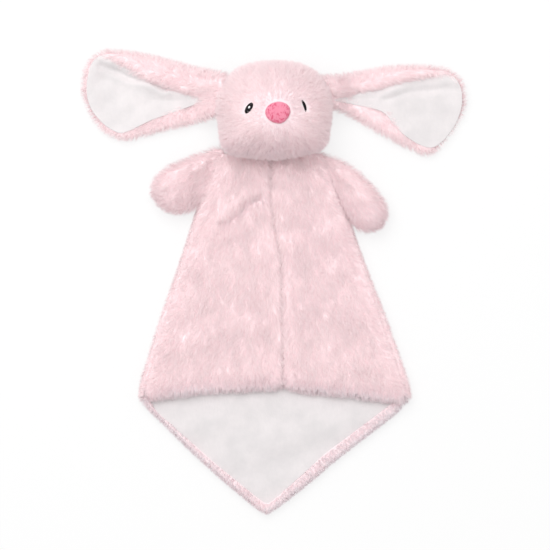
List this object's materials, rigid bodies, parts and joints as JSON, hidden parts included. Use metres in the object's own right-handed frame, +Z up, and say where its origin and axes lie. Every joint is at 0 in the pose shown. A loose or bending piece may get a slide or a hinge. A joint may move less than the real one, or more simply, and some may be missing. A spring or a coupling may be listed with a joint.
{
  "type": "comfort blanket lovey",
  "caption": "Plush bunny comfort blanket: a lined square blanket folded like a kite, with a stuffed head, long flat ears, short arms, a padded nose and stitched eyes.",
  "frame": {"origin": "on the flat underside of the back panel, where the toy lies on a surface", "axes": "+Y towards the head, +Z up through the face, +X to the right in a view from above"},
  "size_m": [0.3751, 0.449, 0.0825],
  "materials": {
    "plush": "pale pink long-pile plush",
    "lining": "smooth white short-pile plush",
    "stuffing": "white polyester fibre filling",
    "nose": "pink satin-stitched nose",
    "eye_thread": "black satin-stitched thread",
    "highlight_thread": "white satin-stitched thread"
  },
  "bodies": {
    "blanket": {"back_panel_plush": "plush", "back_panel_lining": "lining", "left_chest_plush": "plush", "left_chest_lining": "lining", "right_chest_plush": "plush", "right_chest_lining": "lining", "neck_gather": "plush"},
    "left_flap": {"left_flap_plush": "plush", "left_flap_lining": "lining"},
    "right_flap": {"right_flap_plush": "plush", "right_flap_lining": "lining"},
    "corner": {"corner_plush": "plush", "corner_lining": "lining"},
    "head": {"head_left_panel": "plush", "head_right_panel": "plush", "head_back_panel": "plush", "head_stuffing": "stuffing", "nose": "nose", "left_eye": "eye_thread", "right_eye": "eye_thread", "left_eye_highlight": "highlight_thread", "right_eye_highlight": "highlight_thread"},
    "left_ear": {"left_ear_plush": "plush", "left_ear_lining": "lining"},
    "right_ear": {"right_ear_plush": "plush", "right_ear_lining": "lining"},
    "left_arm": {"left_arm_front_panel": "plush", "left_arm_back_panel": "plush", "left_arm_stuffing": "stuffing"},
    "right_arm": {"right_arm_front_panel": "plush", "right_arm_back_panel": "plush", "right_arm_stuffing": "stuffing"}
  },
  "joints": [
    {"name": "left_flap_hinge", "type": "hinge", "parent": "blanket", "child": "left_flap", "pos_m": [-0.08448, 0.054, 0.00785], "axis": [-0.2984, -0.9544, 0], "range_deg": [0, 178]},
    {"name": "right_flap_hinge", "type": "hinge", "parent": "blanket", "child": "right_flap", "pos_m": [0.08087, 0.054, 0.00785], "axis": [-0.33, 0.944, 0], "range_deg": [0, 178]},
    {"name": "corner_fold", "type": "hinge", "parent": "blanket", "child": "corner", "pos_m": [0, -0.10175, 0.0121], "axis": [-1, 0, 0], "range_deg": [0, 170]},
    {"name": "head_nod", "type": "hinge", "parent": "blanket", "child": "head", "pos_m": [0, 0.1376, 0.008], "axis": [1, 0, 0], "range_deg": [0, 40]},
    {"name": "left_ear_lift", "type": "hinge", "parent": "head", "child": "left_ear", "pos_m": [-0.05139, 0.201, 0.0355], "axis": [0.446, 0.895, 0], "range_deg": [0, 100]},
    {"name": "right_ear_lift", "type": "hinge", "parent": "head", "child": "right_ear", "pos_m": [0.05055, 0.203, 0.0355], "axis": [0.446, -0.895, 0], "range_deg": [0, 100]},
    {"name": "left_arm_lift", "type": "hinge", "parent": "blanket", "child": "left_arm", "pos_m": [-0.06369, 0.1205, 0.0154], "axis": [-0.2984, -0.9544, 0], "range_deg": [-100, 0]},
    {"name": "right_arm_lift", "type": "hinge", "parent": "blanket", "child": "right_arm", "pos_m": [0.06252, 0.1065, 0.0154], "axis": [-0.33, 0.944, 0], "range_deg": [-100, 0]}
  ]
}
